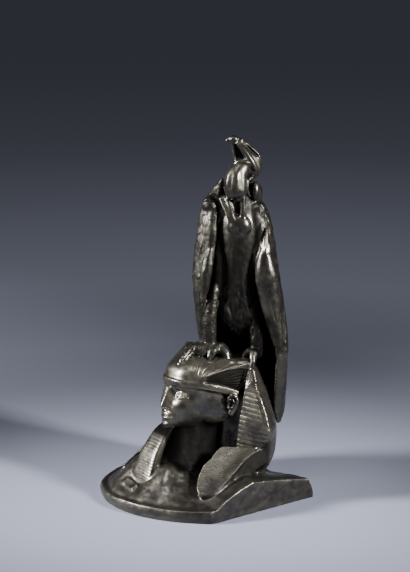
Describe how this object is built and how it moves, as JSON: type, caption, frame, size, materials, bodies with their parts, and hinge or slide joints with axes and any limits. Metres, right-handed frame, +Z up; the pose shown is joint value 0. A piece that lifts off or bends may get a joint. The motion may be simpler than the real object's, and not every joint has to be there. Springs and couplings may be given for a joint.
{
  "type": "animal figure sculpture",
  "caption": "Cast bronze table sculpture: a vulture with folded wings stands on the head of a sphinx that rises from a low shaped base.",
  "frame": {"origin": "middle of the flat underside of the base, where the sculpture rests on its surface", "axes": "+Z up; the sphinx looks along -Y; +X is to the sphinx's left, the side its left headcloth end lies on"},
  "size_m": [0.2268, 0.223, 0.4611],
  "materials": {
    "bronze": "dark brown-black patinated bronze, softly polished, with greenish gold on raised feathers and worn edges"
  },
  "bodies": {
    "root": {"vulture_on_sphinx_head": "bronze"}
  },
  "joints": []
}
